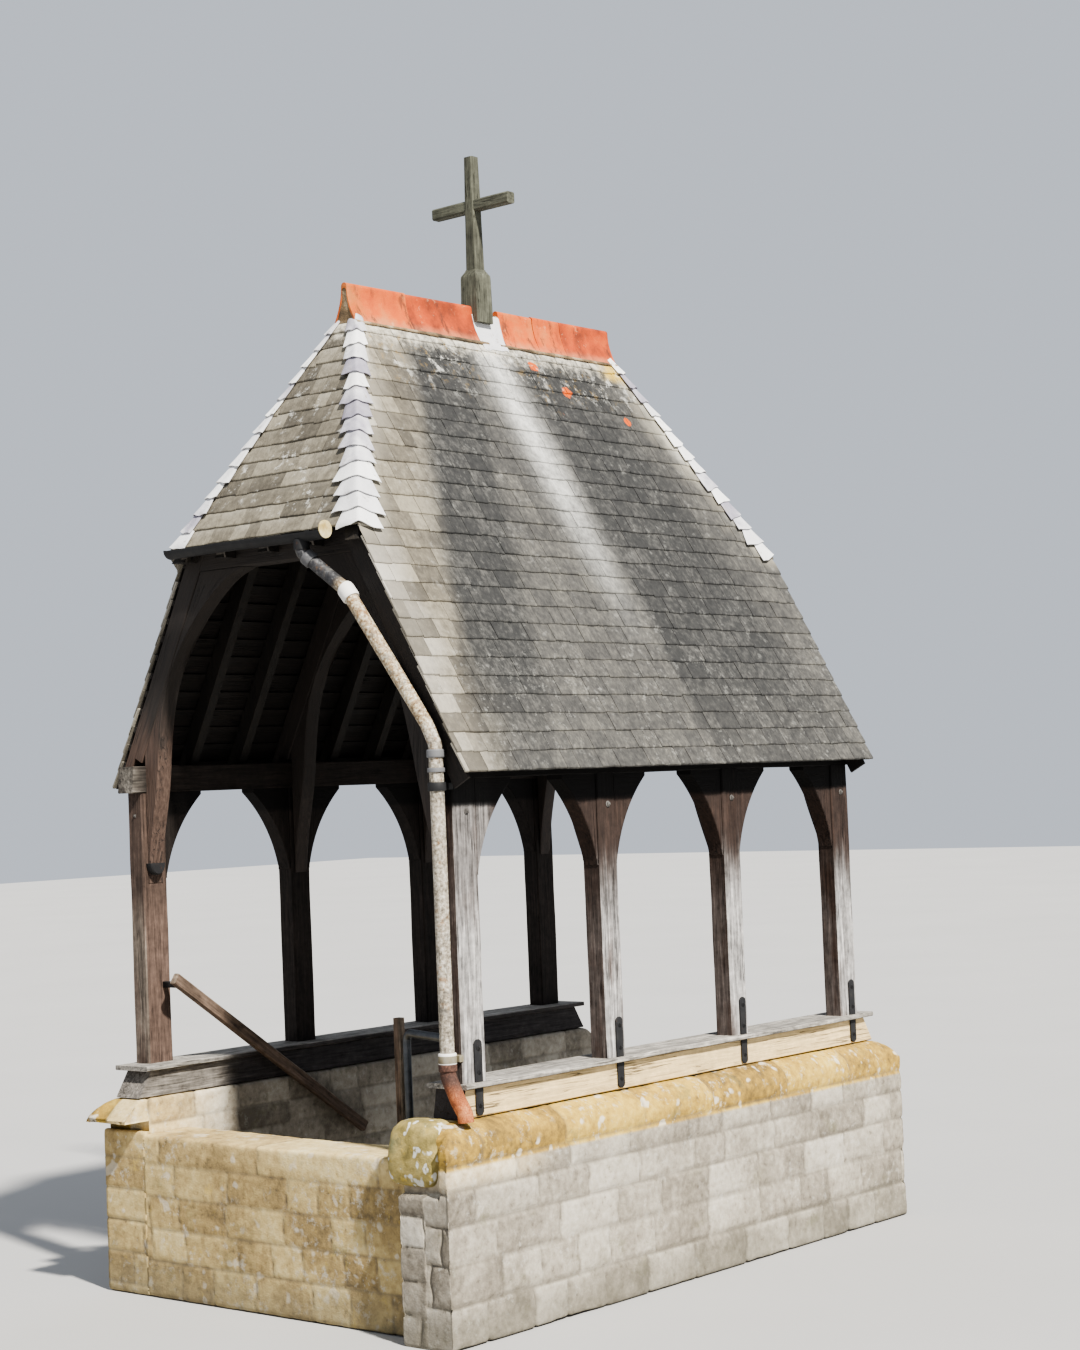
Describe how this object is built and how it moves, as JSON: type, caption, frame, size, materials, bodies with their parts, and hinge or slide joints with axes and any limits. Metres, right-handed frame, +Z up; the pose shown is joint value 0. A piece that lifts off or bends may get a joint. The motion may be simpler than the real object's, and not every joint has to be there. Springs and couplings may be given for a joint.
{
  "type": "lychgate",
  "caption": "Open oak lychgate with curved braces and a half-hipped stone-slate roof with cross, over a stepped passage between low stone walls.",
  "frame": {"origin": "middle of the base at the level of the road, midway between the walls and between the gables", "axes": "+Z up; X across the passage; Y along the passage and the ridge, with the churchyard end and its gutter at -Y"},
  "size_m": [2.7294, 4, 6.268],
  "materials": {
    "weathered_oak": "silvered, rough, with open checks",
    "shaded_oak": "aged, dull, nearly black in the shade",
    "limestone": "rough weathered limestone with lichen",
    "lead": "dull white patina",
    "stone_slate": "rough stone slates with streaks and lichen",
    "terracotta": "matt fired clay with pale bloom",
    "black_iron": "blue-black, satin",
    "painted_pipe": "old flaking paint on cast iron",
    "rusty_iron": "flaking rust-red paint",
    "galvanised_tube": "dull dark zinc",
    "brown_timber": "brown stained, worn"
  },
  "bodies": {
    "root": {"bargeboards": "shaded_oak", "corner_stone": "limestone", "cross": "weathered_oak", "cross_pedestal": "weathered_oak", "downpipe": "painted_pipe", "far_hip": "stone_slate", "far_hip_frame": "shaded_oak", "far_ridge_tiles": "terracotta", "gutter": "black_iron", "handrail": "brown_timber", "handrail_brackets": "black_iron", "hip_leads": "lead", "kerb_stone": "limestone", "lead_saddle": "lead", "left_arch_braces": "weathered_oak", "left_post_1": "weathered_oak", "left_post_2": "weathered_oak", "left_post_3": "weathered_oak", "left_post_4": "weathered_oak", "left_rafters": "shaded_oak", "left_sill_board": "weathered_oak", "left_slope": "stone_slate", "left_sole_beam": "weathered_oak", "left_straps": "black_iron", "left_wall": "limestone", "left_wall_plate": "weathered_oak", "near_hip": "stone_slate", "near_hip_frame": "shaded_oak", "near_ridge_tiles": "terracotta", "newel_post": "brown_timber", "pipe_clips": "black_iron", "pipe_shoe": "rusty_iron", "ridge_board": "shaded_oak", "right_arch_braces": "weathered_oak", "right_post_1": "weathered_oak", "right_post_2": "weathered_oak", "right_post_3": "weathered_oak", "right_post_4": "weathered_oak", "right_rafters": "shaded_oak", "right_sill_board": "weathered_oak", "right_slope": "stone_slate", "right_sole_beam": "weathered_oak", "right_straps": "black_iron", "right_wall": "limestone", "right_wall_plate": "weathered_oak", "step_1": "limestone", "step_2": "limestone", "step_3": "limestone", "step_4": "limestone", "truss_1": "shaded_oak", "truss_2": "shaded_oak", "truss_3": "shaded_oak", "truss_4": "shaded_oak", "tube_rail": "galvanised_tube"}
  },
  "joints": []
}
